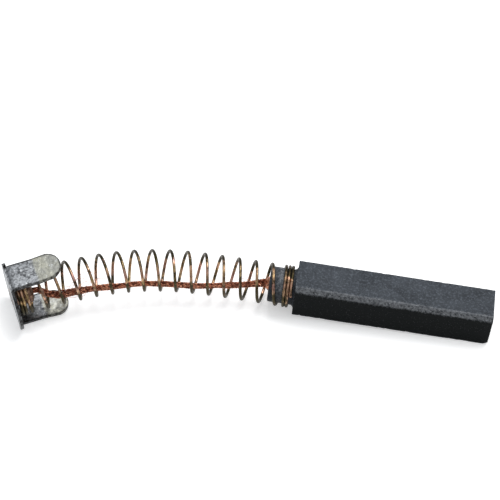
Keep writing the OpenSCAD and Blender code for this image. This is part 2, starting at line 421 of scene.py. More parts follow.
def carbon_material(colours):
    """Pressed carbon: near black, cloudy and grained, greyer on its two ground faces, which is partly
    painted sheen, darker on the other faces as painted shade, and paler and specked where edges
    are worn or cut."""
    moulded_shaded_dark = (0.002, 0.0032, 0.0034, 1)
    moulded_shaded_pale = (0.009, 0.0115, 0.012, 1)
    broken_edge = (0.175, 0.183, 0.195, 1)
    glint = (0.30, 0.31, 0.33, 1)
    n, shader, where = new_material("Pressed carbon", colours.carbon)
    grain = n.group("Fine Grain", Vector=where, Scale=4600.0, Specks=0.80)
    cloud = n.patches(where, 300.0, 0.36, 0.66, detail=6.0, roughness=0.72, distortion=0.4)
    fleck = n.patches(where, 2500.0, 0.50, 0.70, detail=4.0, roughness=0.7)
    shade = n.line(fleck, 0.70, n.maths("MULTIPLY", cloud, 0.30))
    # Painted shade: the moulded faces are much darker than the carbon's own colour
    moulded_and_shaded = n.mix(shade, moulded_shaded_dark, moulded_shaded_pale)
    # Painted sheen on the top and bottom faces, together with their greyer ground finish
    ground_light = n.mix(shade, shaded(colours.carbon, 0.62), shaded(colours.carbon, 2.2))
    base = n.mix(n.mask("tone"), moulded_and_shaded, ground_light)
    wear = n.mask("wear")
    broken = n.patches(where, 2700.0, 0.36, 0.62, detail=4.0, roughness=0.75)
    ragged = n.line(n.maths("SUBTRACT", broken, 0.5), 0.7, wear)
    worn = n.maths("MULTIPLY", n.ramp(ragged, 0.38, 0.95), n.line(broken, 0.75, 0.25))
    base = n.mix(worn, base, broken_edge)
    specks = n.maths("MULTIPLY", grain["Specks"], n.line(wear, 0.6, 0.14), clamp=True)
    n.feed(shader, "Specular IOR Level", 0.06)
    height = n.line(fleck, 0.8, grain["Height"])
    finish_shader(n, shader, n.mix(specks, base, glint), n.line(shade, 0.2, 0.50), height, 0.45, 0.05 * MM)


def spring_material(colours):
    """Drawn bronze wire gone dark: gold to rosy in patches, olive black in patches of tarnish film
    and as painted shade on the upper back and lower front of each turn, with fine streaks along the wire."""
    rosy = (0.60, 0.33, 0.27, 1)
    olive_black = (0.030, 0.027, 0.012, 1)
    along_wire = (14.0, 500.0, 1.0)
    n, shader, where = new_material("Darkened wire", colours.spring, metallic=1.0)
    metal = n.group("Tarnish", Vector=where, Scale=330.0, Clean=tuple(colours.spring), Dull=rosy, Amount=1.0)
    patch = n.patches(where, 700.0, 0.34, 0.62, detail=4.0, distortion=0.6)
    # Painted shade from the tone mask, added to patches of tarnish film
    film_and_shade = n.ramp(n.line(n.mask("tone"), 1.1, patch), 0.32, 1.05)
    uv = n.add("ShaderNodeUVMap", {"uv_map": "Along"}).outputs[0]
    drawn = n.add("ShaderNodeMapping", Vector=uv, Scale=along_wire).outputs[0]
    streak = n.noise(drawn, 1.0, 4.0, 0.6)
    base = n.mix(n.maths("MULTIPLY", film_and_shade, 0.97), metal["Color"], olive_black)
    finish_shader(n, shader, base, n.line(film_and_shade, 0.22, 0.24), streak, 0.18, 0.02 * MM)


def copper_material(colours):
    """Bare copper: bright and rosy on some strands, red brown on others, and dark deep down, where
    the braid's core is painted shade; the same dark colour marks the tamped copper's lumps.
    """
    dull = (0.42, 0.13, 0.07, 1)
    red_brown = (0.15, 0.042, 0.026, 1)
    dark_copper_and_core_shade = (0.06, 0.022, 0.014, 1)
    n, shader, where = new_material("Bare copper", colours.copper, metallic=1.0)
    metal = n.group("Tarnish", Vector=where, Scale=1500.0, Clean=tuple(colours.copper), Dull=dull, Amount=0.9)
    # The wear mask puts painted shade on the braid's core, and darkens the tamped copper a little
    base = n.mix(n.mask("wear"), n.mix(n.mask("tone"), metal["Color"], red_brown), dark_copper_and_core_shade)
    finish_shader(n, shader, base, n.line(metal["Mask"], 0.2, 0.28))


def tin_material(colours):
    """Tinned sheet: grey and cool by the folds, paler and warmer past the kinks, with grainy
    clouds, pits and dark cut edges."""
    warm = (0.55, 0.545, 0.46, 1)
    glint = (0.66, 0.68, 0.70, 1)
    cut_edge = (0.030, 0.029, 0.028, 1)
    n, shader, where = new_material("Tinned sheet", colours.tin, metallic=1.0)
    # Paler and warmer past the kink, with less dirt there
    beyond_kink = n.mask("tone")
    blotch = n.patches(where, 420.0, 0.36, 0.64)
    clean = n.mix(n.maths("MULTIPLY", beyond_kink, n.line(blotch, 0.45, 0.55)), tuple(colours.tin), warm)
    cloud = n.patches(where, 1100.0, 0.46, 0.60, distortion=0.5)
    fleck = n.patches(where, 2300.0, 0.47, 0.58, detail=2.0)
    grain = n.group("Fine Grain", Vector=where, Scale=2100.0, Specks=0.66)
    dirt = n.line(fleck, 0.52, n.maths("MULTIPLY", cloud, 0.36))
    dirt = n.maths("MULTIPLY", dirt, n.line(beyond_kink, -0.5, 1.0), clamp=True)
    base = n.mix(dirt, clean, shaded(colours.tin, 0.16))
    base = n.mix(n.maths("MULTIPLY", grain["Specks"], 0.6), base, glint)
    cut = n.maths("MULTIPLY", n.ramp(n.mask("wear"), 0.15, 0.75), n.line(fleck, 0.2, 0.8))
    pits = n.patches(where, 1500.0, 0.36, 0.5, detail=2.0, roughness=0.5)
    height = n.line(grain["Height"], 0.6, pits)
    finish_shader(n, shader, n.mix(cut, base, cut_edge), n.line(cloud, 0.22, 0.38), height, 0.35, 0.05 * MM)


def eyelet_material(colours):
    """Eyelet: a warm, tarnished metal, dark maroon almost all over, which is partly painted shade."""
    clean, maroon_and_shade = tuple(colours.eyelet), (0.06, 0.028, 0.022, 1)
    n, shader, where = new_material("Eyelet metal", colours.eyelet, metallic=1.0)
    # Dark maroon tarnish, partly painted shade from the upper ear above it
    metal = n.group("Tarnish", Vector=where, Scale=1100.0, Clean=clean, Dull=maroon_and_shade, Amount=0.95)
    finish_shader(n, shader, metal["Color"], n.line(metal["Mask"], 0.2, 0.3))


def finish_piece(piece, body, material, slot, *nodes):
    """Gives a piece its material and its body, and hides the CAD nodes it stands for. The slot is not used.
    """
    piece.data.materials.append(bpy.data.materials[material])
    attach(piece, body)
    if nodes:
        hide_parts(*nodes)
    return piece


# ---------------- the carbon block


def turn_between(a, b):
    """The angle between two directions."""
    return math.acos(float(np.clip(a @ b, -1, 1)))


def block_outline(sizes, spacing=0.22 * MM, arc_steps=5):
    """The block's section, once round: straight runs and small arcs at the corners. Gives the
    points, the outward normals, a mask of chipping that is 1 at a corner and fades beside it, and
    a mask of pale wear that is 1 on the cut edge and its corners and faint at the others."""
    w, h, cut, r = HALF_W, HALF_H, sizes.edge_cut, sizes.edge_round
    corners = np.array([[-w, -h], [w, -h], [w, h], [-w + cut, h], [-w, h - cut]])
    cut_corners = (3, 4)
    uncut_pale = 0.22
    pale_fade = 0.5 * MM
    chip_fade = 0.16 * MM
    beside_corner = 0.8
    on_cut = 0.75
    ways = unit(np.roll(corners, -1, 0) - corners)
    turns = [turn_between(ways[i - 1], ways[i]) for i in range(len(corners))]
    brights = [1.0 if i in cut_corners else uncut_pale for i in range(len(corners))]
    points, normals, mask, pale = [], [], [], []
    for i, (here, turn, bright) in enumerate(zip(corners, turns, brights)):
        after = (i + 1) % len(corners)
        d_in, d_out = ways[i - 1], ways[i]
        n_in, n_out = np.array([d_in[1], -d_in[0]]), np.array([d_out[1], -d_out[0]])
        back = r * math.tan(turn / 2)
        a = math.atan2(n_in[1], n_in[0]) + turn * np.linspace(0, 1, arc_steps)
        n_arc = np.stack([np.cos(a), np.sin(a)], -1)
        points.append(here - d_in * back - n_in * r + r * n_arc)
        normals.append(n_arc)
        mask.append(np.ones(arc_steps))
        pale.append(np.full(arc_steps, bright))
        start = here + d_out * back
        end = corners[after] - d_out * r * math.tan(turns[after] / 2)
        run = float(np.linalg.norm(end - start))
        t = np.linspace(0, 1, max(3, int(run / spacing)) + 1)[1:-1]
        points.append(start + (end - start) * t[:, None])
        normals.append(np.repeat(n_out[None], len(t), 0))
        if run < 2 * cut:
            mask.append(np.full(len(t), on_cut))
            pale.append(np.ones(len(t)))
        else:
            gap = np.minimum(t, 1 - t) * run
            nearer = np.where(t < 0.5, bright, brights[after])
            mask.append(np.clip(1 - gap / chip_fade, 0, 1) * beside_corner)
            pale.append(np.clip(1 - gap / pale_fade, 0, 1) * nearer * beside_corner)
    return np.vstack(points), np.vstack(normals), np.concatenate(mask), np.concatenate(pale)


class WornOutline:
    """The block's outline at any X, less what wear has taken: dents of noise along the edges, a
    slight wave of the faces, and one rounded corner at the rubbing face."""

    dent_length = 0.55 * MM
    dent_width = 0.5 * MM
    dent_depth = 0.085 * MM
    dents_from = 0.28
    wave_depth = 0.006 * MM
    wave_stretch = 0.12
    all_round = 0.004 * MM
    lost_corner = (-HALF_W, -HALF_H)
    lost_depth = 0.45 * MM
    lost_round = 0.5 * MM
    lost_along = 0.42 * MM

    def __init__(self, sizes):
        self.outline, self.normals, self.mask, self.pale = block_outline(sizes)
        steps = np.linalg.norm(np.diff(self.outline, axis=0), axis=1)
        self.perimeter = np.concatenate([[0], np.cumsum(steps)])
        self.lost = bell(np.linalg.norm(self.outline - self.lost_corner, axis=1), 0, self.lost_round)
        self.way = unit(self.outline)

    def at(self, x, inset=0.0):
        """The outline moved in by an inset and by wear."""
        s = self.perimeter / self.dent_width
        u = x / self.dent_length + 0 * s
        dents = lattice_noise(u, s, 3) + 0.5 * lattice_noise(2.7 * u, 2.7 * s, 4)
        dents = np.clip(dents - self.dents_from, 0, 1)
        wave = self.wave_depth * lattice_noise(self.wave_stretch * u, self.wave_stretch * s, 5)
        off = inset + self.mask**3 * dents * self.dent_depth + self.all_round + wave
        off = off + self.lost_depth * self.lost * bell(x, FACE_X, self.lost_along)
        return self.outline - self.normals * off[:, None]


def carbon_rings(sizes):
    """The block from its rubbing face back over the shoulder and spigot into the shunt hole: the
    outline carried along X, then circles cut off by the outline. Wear takes a little off the edges."""
    worn = WornOutline(sizes)
    way = worn.way
    shoulder = FACE_X - sizes.block_l
    face_x = FACE_X - 0.002 * MM
    face_round = 0.09 * MM
    shoulder_round = 0.05 * MM
    rings, wear = [], []

    def ring(x, yz, w):
        rings.append(np.column_stack([np.broadcast_to(x, len(yz)), yz]))
        wear.append(np.broadcast_to(w, len(yz)))

    for k in (0.12, 0.3, 0.5, 0.7, 0.85, 0.95):
        ring(face_x, worn.at(FACE_X, face_round) * k, 0.0)
    for a in np.radians([0, 22, 45, 68, 90]):
        ring(face_x - face_round * (1 - math.cos(a)), worn.at(FACE_X, face_round * (1 - math.sin(a))), 0.35)
    near_face = FACE_X - np.array([0.15, 0.25, 0.36]) * MM
    ring_gap = 0.28 * MM
    steps = int(sizes.block_l / ring_gap)
    for x in (*near_face, *np.linspace(FACE_X - 0.5 * MM, shoulder + 0.12 * MM, steps)):
        ring(x, worn.at(x), worn.pale)
    for a in np.radians([0, 45, 90]):
        inset = shoulder_round * (1 - math.cos(a))
        ring(shoulder + shoulder_round * (1 - math.sin(a)), worn.at(shoulder, inset), 0.4)
    spigot_r = sizes.spring_od / 2 - sizes.wire_d - sizes.spigot_gap
    fillet = sizes.spigot_fillet
    edge = np.linalg.norm(worn.at(shoulder, shoulder_round), axis=1)
    root = np.minimum(spigot_r + fillet, edge)
    for k in (0.35, 0.7):
        ring(shoulder, way * (edge + (root - edge) * k)[:, None], 0.3)
    for a in np.radians(np.linspace(0, 90, 9)):
        r = spigot_r + fillet * (1 - math.sin(a))
        ring(shoulder - fillet * (1 - math.cos(a)), way * np.minimum(r, edge)[:, None], 0.15)
    end, chamfer = SPIGOT_END_X, sizes.spigot_chamfer
    tool_mark, tool_step = 0.008 * MM, 0.055 * MM
    scuff_at, scuff_width = shoulder - 2.3 * MM, 0.9 * MM
    for x in np.linspace(shoulder - fillet - 0.1 * MM, end + chamfer, 26):
        groove = tool_mark * math.sin(x / tool_step)
        scuff = 0.55 * bell(x, scuff_at, scuff_width)
        ring(x, way * np.minimum(spigot_r + groove, edge)[:, None], 0.2 + scuff)
    ring(end, way * (spigot_r - chamfer), 0.5)
    hole_r = sizes.hole_d / 2
    for r in (spigot_r - 1.5 * chamfer, (spigot_r + hole_r) / 2, hole_r + 0.05 * MM, hole_r):
        ring(end, way * r, 0.2)
    for depth in (0.8 * MM, 1.6 * MM):
        ring(end + depth, way * hole_r, 0.0)
    return np.stack(rings), np.stack(wear)


# ---------------- the spring


class SpringLine:
    """The spring's middle line, from the shoulder to the cap: straight on both seats, and a cubic
    curve between them that leaves each seat along its own axis. Turns are closed at the ends. The
    values are those of the part's source, apart from the painted shade's angle and the table's steps."""

    turns = 20.5
    closed_turns = 2
    wire_start = math.radians(290)
    closed_gap = 0.04 * MM
    seat_gap = 0.03 * MM
    block_end_hold = 0.43
    cap_end_hold = 0.48
    # Angle round the wire, from its top towards its back, where the painted shade is darkest
    painted_shade_angle = math.radians(49)
    table_steps = 400

    def __init__(self, sizes):
        self.wire_d, self.coil_r = sizes.wire_d, (sizes.spring_od - sizes.wire_d) / 2
        self.shoulder = np.array([FACE_X - sizes.block_l, 0.0, 0.0])
        self.closed_pitch = self.wire_d + self.closed_gap
        self.wire_from = max(sizes.spigot_fillet, self.wire_d / 2) + self.seat_gap
        self.straight = self.wire_from + self.closed_turns * self.closed_pitch
        start = self.shoulder - np.array([self.straight, 0, 0])
        end = CAP_AT + CAP_AXIS * (self.seat_gap + self.wire_d)
        span = np.linalg.norm(end - start)
        self.pulls = np.array([
            start, start - np.array([span * self.block_end_hold, 0, 0]),
            end + CAP_AXIS * span * self.cap_end_hold, end,
        ])
        self.table_t = np.linspace(0, 1, self.table_steps + 1)
        steps = np.linalg.norm(np.diff(self.curve(self.table_t), axis=0), axis=1)
        self.table_s = np.concatenate([[0], np.cumsum(steps)])
        self.bend_l = self.table_s[-1]
        self.length = self.straight + self.bend_l + self.seat_gap + self.wire_d
        wire_to = self.length - self.seat_gap - self.wire_d / 2
        open_turns = self.turns - 2 * self.closed_turns - 1
        self.more = (wire_to - self.wire_from - self.closed_pitch * self.turns) / open_turns

    def curve(self, t):
        t = np.asarray(t)[:, None]
        a, b, c, d = self.pulls
        return (1 - t) ** 3 * a + 3 * (1 - t) ** 2 * t * b + 3 * (1 - t) * t * t * c + t**3 * d

    def slope(self, t):
        t = np.asarray(t)[:, None]
        a, b, c, d = self.pulls
        return 3 * (1 - t) ** 2 * (b - a) + 6 * (1 - t) * t * (c - b) + 3 * t * t * (d - c)

    def at(self, s):
        """Points and directions at lengths from the shoulder."""
        s = np.asarray(s, float)
        t = np.interp(s - self.straight, self.table_s, self.table_t)
        point, way = self.curve(t), unit(self.slope(t))
        near = s <= self.straight
        far = s >= self.straight + self.bend_l
        point[near] = self.shoulder - s[near, None] * np.array([1.0, 0, 0])
        way[near] = [-1.0, 0, 0]
        past = (s - self.straight - self.bend_l)[far, None]
        point[far] = self.pulls[3] - CAP_AXIS * past
        way[far] = -CAP_AXIS
        return point, way

    def rise(self, n):
        """Length from the shoulder after n turns, and the pitch there."""

        def eased(x):
            return np.where(x <= 0, 0, np.where(x >= 1, x - 0.5, x**3 - x**4 / 2))

        def ease(x):
            x = np.clip(x, 0, 1)
            return x * x * (3 - 2 * x)

        a, b = n - self.closed_turns, n - (self.turns - self.closed_turns - 1)
        s = self.wire_from + self.closed_pitch * n + self.more * (eased(a) - eased(b))
        return s, self.closed_pitch + self.more * (ease(a) - ease(b))

    def wire(self, first, last, sides=14, steps_per_turn=56):
        """Rings of wire from one turn number to another: middle line + R (cos a up + sin a side).
        The second mask is painted shade: cos squared of the angle from the upper back of each turn,
        so it is darkest there and on the lower front."""
        n = np.linspace(first, last, int(round((last - first) * steps_per_turn)) + 1)
        s, pitch = self.rise(n)
        middle, way = self.at(s)
        side = unit(np.cross(way, UP))
        top = np.cross(side, way)
        a = TAU * n[:, None] + self.wire_start
        out = np.cos(a) * top + np.sin(a) * side
        forward = unit(TAU * self.coil_r * (np.cos(a) * side - np.sin(a) * top) + pitch[:, None] * way)
        rings = carry(middle + self.coil_r * out, out, np.cross(forward, out), self.wire_d / 2, sides)
        # Painted shade round each turn
        return rings, np.cos(a - self.painted_shade_angle) ** 2

    def turn_at(self, length):
        """The turn number at a length from the shoulder."""
        n = np.linspace(0, self.turns, self.table_steps)
        return float(np.interp(length, self.rise(n)[0], n))

    def split(self, n):
        """The wire's middle at a turn number."""
        return self.wire(n, n + 0.05, steps_per_turn=20)[0][0].mean(0)


# ---------------- the braid

# The braid's route, as in the part's source: millimetres back from the spigot's end, then
# sideways and up from the block's axis. Most points are a separate fitting script's results,
# rounded or changed a little, so the route as a whole wasn't chosen by hand
BRAID_ROUTE = [
    (1, -0.1, 0), (3.1, -0.5, -0.3), (4.9, -0.8, -0.6), (7.4, -1.2, -0.8),
    (11.5, -2, -1), (15.2, -2.5, -0.9), (18.1, -3, -0.8), (21, -3.7, -0.7),
    (24, -4.7, -0.8), (26.5, -5.5, -0.8), (29.3, -6.5, -0.9), (31.4, -7.3, -1.1),
    (32.9, -7.9, -1.2), (34.2, -8.25, -1.1), (35.3, -8.25, -0.8), (36.4, -8.3, -0.4),
]


def smooth_through(points, steps):
    """A smooth curve through points: on each stretch, a cubic whose end slopes are half the step
    between the neighbours on either side."""
    p = np.vstack([points[:1], points, points[-1:]])
    a, b, c, d = p[:-3, None], p[1:-2, None], p[2:-1, None], p[3:, None]
    t = (np.arange(steps) / steps)[None, :, None]
    curve = 0.5 * (2 * b + (c - a) * t + (2 * a - 5 * b + 4 * c - d) * t * t + (3 * b - 3 * c + d - a) * t**3)
    return np.vstack([curve.reshape(-1, 3), points[-1:]])


def braid_line(sizes, spacing):
    """The braid's middle line from the spigot's mouth into the eyelet, evenly spaced."""
    route = [SPIGOT_MOUTH + [-a * MM, b * MM, c * MM] for a, b, c in BRAID_ROUTE]
    held = [CAP_AT + CAP_AXIS * sizes.eyelet_l * k for k in (1.0, 0.75)]
    curve = smooth_through(np.array([SPIGOT_MOUTH, *route, *held]), 24)
    s = np.concatenate([[0], np.cumsum(np.linalg.norm(np.diff(curve, axis=0), axis=1))])
    even = np.linspace(0, s[-1], int(s[-1] / spacing) + 1)
    return np.stack([np.interp(even, s, curve[:, k]) for k in range(3)], -1), even


def ring_spacing(sizes, carriers=8, per_crossing=3):
    """Rings of a strand lie this far apart, with a few of them to each crossing."""
    return sizes.braid_pitch / (2 * carriers * per_crossing)


def braid_skin(sizes, carriers=8, wires=3, sides=4):
    """Two sets of strands wound opposite ways. Each strand's radius swings over and under once
    every two crossings: r = mid +- swing * cos(carriers * angle). The braid flares at the spigot's
    mouth, and its strands are loose there and near the eyelet."""
    mouth_flare, mouth_l = 0.72, 2.1 * MM
    uneven, uneven_l, narrowest = 0.2, 2.2 * MM, -0.16
    fray_at, fray_l, fray_swell, fray_loose = 6.4 * MM, 2.6 * MM, 0.22, 6
    loose_at, loose_l, mouth_loose = 1.2 * MM, 1.2 * MM, 2.0
    held_l = 2.4 * MM
    stray_by, stray_l = 0.07, 1.3 * MM
    lift_by, lift_l, shade_l = 0.5, 0.8 * MM, 0.55 * MM
    wires_deep, swing_share, wire_room = 2.2, 1.15, 1.04
    line, s = braid_line(sizes, ring_spacing(sizes, carriers))
    _, side, top = square_frames(line)
    still = 0 * s
    flare = mouth_flare * bell(s, 0, mouth_l) + uneven * lattice_noise(s / uneven_l, still, 8)
    frayed = bell(s, s[-1] - fray_at, fray_l)
    loosened = 1 + fray_loose * frayed + mouth_loose * bell(s, loose_at, loose_l)
    wire_r = sizes.strand_d / 2
    free_of_eyelet = np.clip((s[-1] - s) / held_l, 0, 1)
    swell = 1 + np.clip(flare + fray_swell * frayed, narrowest, 1) * free_of_eyelet
    middle_r = (sizes.braid_d / 2 - wires_deep * wire_r) * swell
    once_round = TAU * s / sizes.braid_pitch
    wire_gap = wire_room * sizes.strand_d / (sizes.braid_d / 2)

    def own_noise(step, row, seed):
        """Noise along the braid, on a row that each wire has to itself."""
        return lattice_noise(s / step, still + row, seed)

    skin = Skin()
    for way in (1, -1):
        swing = swing_share * wire_r * way * np.cos(carriers * once_round)
        for k in range(carriers):
            for w in range(wires):
                stray = stray_by * own_noise(stray_l, 7.3 * k + 2.1 * w, 11 + way)
                lift = lift_by * wire_r * own_noise(lift_l, 3.7 * k + w, 12)
                shade = own_noise(shade_l, 5.1 * k + 0.4 * w, 13 + way)
                spread = (w - (wires - 1) / 2) * wire_gap
                a = way * once_round + TAU * k / carriers + spread + stray * loosened
                r = middle_r + swing + lift * loosened
                out = np.cos(a)[:, None] * top + np.sin(a)[:, None] * side
                path = line + r[:, None] * out
                ahead = unit(np.gradient(path, axis=0))
                across = np.cross(ahead, out)
                rings = carry(path, unit(np.cross(across, ahead)), across, wire_r, sides)
                dull = np.clip(0.33 + 1.2 * shade + 0.05 * (loosened - 1), 0, 1)
                skin.grid(rings, tone=dull[:, None])
    # A dark core tube inside the strands: painted shade between them
    skin.grid(carry(line, top, side, middle_r - 1.6 * wire_r, 8), wear=0.85)
    return skin


def filament_paths(sizes):
    """A few hair-thin wires that have sprung out of the braid, most near the eyelet: arcs that run
    evenly along it while they rise from it as a sine."""
    line, s = braid_line(sizes, 0.2 * MM)
    along, side, top = square_frames(line)
    # Start from the eyelet's end, run along the braid, lift (all mm), and angle round it in degrees
    hairs = [
        (-7.4, -4.3, 2.3, 50), (-6.8, -3.2, 1.5, 60), (-8.4, -2.4, 0.8, 38), (-9.6, -3.6, 1.0, 66),
        (-6.2, -2.6, 0.9, 190), (-5.4, -1.8, 0.8, 20), (-7.9, -1.6, 0.7, 215), (-36.6, 2.2, 0.5, 60),
    ]
    root_share, droop, drift = 0.42, 2.4, 0.25
    t = np.linspace(0, 1, 18)[:, None]
    for from_end, run, lift, angle in hairs:
        k = int(np.searchsorted(s, s[-1] + from_end * MM))
        a = math.radians(angle)
        out = math.cos(a) * top[k] + math.sin(a) * side[k]
        base = line[k] + out * sizes.braid_d * root_share
        yield base + (along[k] * run * t + out * lift * np.sin(t * droop) + side[k] * drift * t * t) * MM


# ---------------- the cap


# Angle by which an ear's tip leans out past the kink, as in the part's source
EAR_FLARE = math.radians(6.0)
# Points across an ear, and across the disc between its two folds
EAR_COLUMNS = 25


def fold_of(sizes):
    """Height at which an ear's fold starts, its middle radius, and its length round the bend."""
    middle_r = sizes.fold_r + sizes.sheet_t / 2
    return EARS_ACROSS / 2 - sizes.sheet_t - sizes.fold_r, middle_r, middle_r * math.pi / 2


def ear_bend(s, y, sizes):
    """The sheet's middle surface over a length s from the disc's middle: flat, a quarter turn
    round the fold, straight, and leaning out past the kink. Gives along, across, up."""
    fold_z, mid_r, fold_l = fold_of(sizes)
    a = np.clip((s - fold_z) / mid_r, 0, math.pi / 2)
    run = np.clip(s - fold_z - fold_l, 0, None)
    past = np.clip(run - (sizes.kink_at - sizes.fold_r), 0, None)
    x = sizes.fold_r - mid_r * np.cos(a) + (run - past) + past * math.cos(EAR_FLARE)
    z = np.minimum(s, fold_z) + mid_r * np.sin(a) + past * math.sin(EAR_FLARE)
    return np.stack([x, y, z], -1)


def ear_patch(sizes, tip_wider=0.1 * MM):
    """One ear as a grid over the flat sheet, folded: its points, the distance to the nearest edge,
    and a mask that is 1 past the kink. The tip is an arc a little wider than the ear."""
    half = sizes.ear_w / 2
    fold_z, _, fold_l = fold_of(sizes)
    bend_end = fold_z + fold_l
    kink = bend_end + sizes.kink_at - sizes.fold_r
    tip = kink + (sizes.ear_l - sizes.kink_at) / math.cos(EAR_FLARE)
    tip_r = half + tip_wider
    blunt, kink_fade = 0.03 * MM, 0.3 * MM
    lengths = np.concatenate([
        np.linspace(fold_z, bend_end, 9),
        np.linspace(bend_end, tip - tip_r, 26)[1:],
        tip - tip_r + tip_r * np.sin(np.linspace(0, math.pi / 2, 18))[1:],
    ])
    from_centre = np.clip(lengths - (tip - tip_r), 0, tip_r)
    width = np.minimum(half, np.sqrt(np.clip(tip_r**2 - from_centre**2, blunt**2, None)))[:, None]
    v = np.linspace(-1, 1, EAR_COLUMNS)
    s = np.repeat(lengths[:, None], len(v), 1)
    to_edge = np.minimum(width * (1 - np.abs(v)), np.clip(tip - s, 0, None))
    return ear_bend(s, width * v, sizes), to_edge, np.clip((s - kink) / kink_fade, 0, 1)


def cap_skin(sizes, relief=0.3 * MM):
    """The folded sheet: the disc between the fold lines, the four corners beside the ears, and the
    ears. The middle surface gets its thickness from a modifier. A little unevenness is added."""
    skin = Skin()
    r, half = sizes.disc_d / 2, sizes.ear_w / 2
    inner = half + relief
    fold_z = fold_of(sizes)[0]
    edge_fade = 0.45 * MM
    dent_depth, dent_size = 0.03 * MM, 2.4 * MM

    def put(points, to_edge, flip, tone=0.0):
        bent = points.copy()
        u, v = points[..., 1] / dent_size, points[..., 2] / dent_size
        bent[..., 0] += dent_depth * lattice_noise(u + 9, v + 5 + points[..., 0] / (3 * MM), 21)
        worn = np.clip(1 - to_edge / edge_fade, 0, 1)
        skin.grid(from_cap(bent), wrap=False, wear=worn, tone=tone, flip=flip)

    def flat(y, z):
        """Points in the disc's middle plane."""
        return np.stack([np.full_like(y, -sizes.sheet_t / 2), y, z], -1)

    s = np.linspace(-fold_z, fold_z, 45)
    outer = np.sqrt(r * r - s * s)[:, None]
    k = np.linspace(0, 1, 11)
    left = -outer + (outer - inner) * k
    between = np.linspace(-1, 1, EAR_COLUMNS) * half
    y = np.concatenate([left, np.repeat(between[None], len(s), 0), -left[:, ::-1]], 1)
    z = np.repeat(s[:, None], y.shape[1], 1)
    put(flat(y, z), r - np.hypot(y, z), False)
    rows = np.linspace(fold_z, math.sqrt(r * r - inner * inner), 9)
    outer = np.maximum(np.sqrt(np.clip(r * r - rows * rows, 0, None)), inner)[:, None]
    y = inner + (outer - inner) * (1 - k)
    z = np.repeat(rows[:, None], len(k), 1)
    ear, ear_edge, past_kink = ear_patch(sizes)
    for up in (1, -1):
        put(ear * [1, 1, up], ear_edge, up < 0, past_kink)
        for out in (1, -1):
            put(flat(out * y, up * z), np.minimum(r - np.hypot(y, z), y - inner), out * up > 0)
    return skin


def turned(x, radius, columns):
    """A profile turned about the X axis, a row of points (x, r cos a, r sin a) for each x and r."""
    x, radius, a = np.broadcast_arrays(x, radius, around(columns))
    return np.stack([x, radius * np.cos(a), radius * np.sin(a)], -1)


def eyelet_skin(sizes):
    """The eyelet turned about the cap's axis: barrel, neck, rim of the mouth, and bore. The neck's
    crimps go in as the square of cos(4 * angle), where that is above 0."""
    neck, mouth_r, bore_r = 0.5 * MM, 1.3 * MM, sizes.braid_d / 2 + 0.06 * MM
    r, l = sizes.eyelet_d / 2, sizes.eyelet_l
    lip = 0.12 * MM
    crimps, crimp_depth, crimp_width = 4, 0.14 * MM, 0.55 * MM
    columns, rows = 72, 61
    profile = np.array([
        (0.0, r - lip), (0.0, r), (0.25 * l, r), (0.5 * l, r), (l - neck, r),
        (l - 0.5 * neck, (r + mouth_r) / 2 + lip), (l - lip, mouth_r + lip * 0.4),
        (l, mouth_r - lip * 0.6), (l, bore_r + lip), (l - lip, bore_r), (0.4 * l, bore_r),
    ])
    fine = np.linspace(0, len(profile) - 1, rows)
    x, radius = (np.interp(fine, range(len(profile)), values)[:, None] for values in profile.T)
    pinch = np.clip(np.cos(crimps * around(columns)), 0, 1) ** 2
    crimp = crimp_depth * bell(x, l - 0.45 * neck, crimp_width) * pinch
    outside = radius > bore_r + lip / 2
    skin = Skin()
    skin.grid(from_cap(turned(x, radius - crimp * outside, columns)))
    # The upset head, from its middle to its rim: height over the disc's outer face, and radius
    head = np.array([(-0.02, 1.30), (-0.03, 1.42), (0.02, 1.5)]) * MM
    skin.grid(from_cap(turned(head[:, :1] - sizes.sheet_t, head[:, 1:], columns)), wear=0.2)
    return skin


def crown_skin(sizes):
    """The tamped copper at the spigot's mouth: a short wall down the hole, then a heap that rises
    as a sine of the way in to the braid, lumpy with noise."""
    columns, rows = 64, 22
    hole_r, top_r, height = sizes.hole_d / 2, 0.72 * MM, 0.48 * MM
    wall_share, wall_depth, wall_gap = 0.25, 0.8 * MM, 0.01 * MM
    lump_out, lump_up = 0.05 * MM, 0.04 * MM
    k = np.linspace(0, 1, rows)[:, None]
    on_wall = k < wall_share
    rise = (k - wall_share) / (1 - wall_share)
    radius = np.where(on_wall, hole_r - wall_gap, hole_r + (top_r - hole_r) * rise)
    x = np.where(on_wall, wall_depth * (1 - k / wall_share), -height * np.sin(rise * math.pi / 2))
    turns = around(columns) / TAU + 0 * k
    level = k + 0 * turns
    lumps = lattice_noise(turns * 16, level * 9, 31) + 0.6 * lattice_noise(turns * 32, level * 18, 32)
    on_top = lumps * np.clip((k - wall_share) * 4, 0, 1)
    points = turned(SPIGOT_END_X + x - lump_up * on_top, radius + lump_out * on_top, columns)
    skin = Skin()
    skin.grid(points, wear=0.15 + 0.2 * lumps)
    return skin


# ---------------- operators


def outward(piece, join=0.0):
    """Turns the faces of a piece so that they point out, after joining points closer than a gap."""
    bm = bmesh.new()
    bm.from_mesh(piece.data)
    if join:
        bmesh.ops.remove_doubles(bm, verts=bm.verts, dist=join)
    bmesh.ops.recalc_face_normals(bm, faces=bm.faces)
    bm.to_mesh(piece.data)
    bm.free()


def finished(skin, name, sharp, body, material, slot, *nodes):
    """Builds a closed skin, turns its faces out and finishes it as a piece."""
    piece = skin.build(name, sharp=sharp)
    outward(piece)
    return finish_piece(piece, body, material, slot, *nodes)


def squash(piece, anchor, moving):
    """Gives a piece its own copy of its mesh. The anchor and the moving point are not used."""
    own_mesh(piece)


